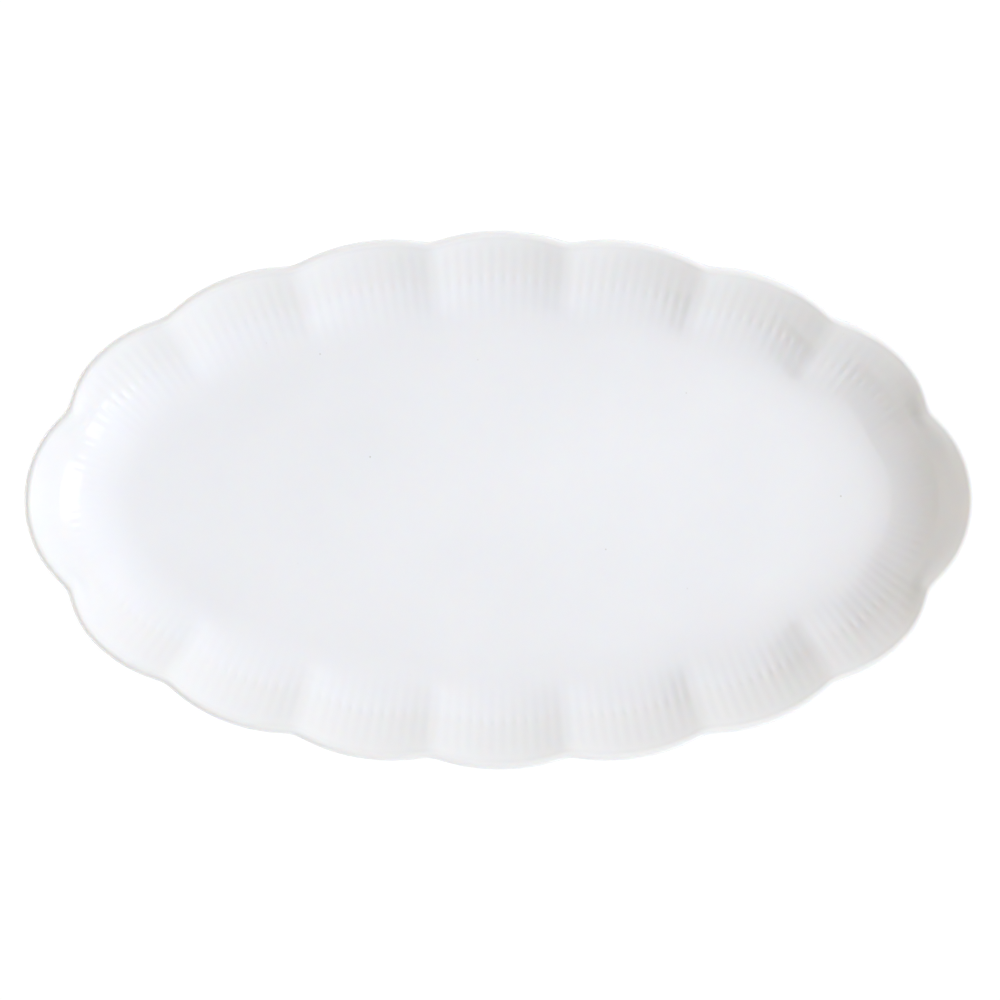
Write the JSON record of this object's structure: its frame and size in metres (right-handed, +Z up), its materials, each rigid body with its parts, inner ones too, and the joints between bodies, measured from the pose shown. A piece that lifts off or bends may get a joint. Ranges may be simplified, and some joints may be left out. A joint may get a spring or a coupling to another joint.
{
  "type": "relish dish",
  "caption": "Long oval glazed porcelain serving dish with a scalloped rim, a finely ribbed sloping wall, a flat floor and a low foot ring.",
  "frame": {"origin": "on the table, under the middle of the dish", "axes": "+X along the length, +Y across the width, +Z up out of the dish"},
  "size_m": [0.24, 0.136, 0.022],
  "materials": {
    "glaze": "clear gloss glaze over white porcelain",
    "foot": "glazed sides, bare ground biscuit where it stands"
  },
  "bodies": {
    "root": {"dish_body": "glaze", "foot_ring": "foot"}
  },
  "joints": []
}
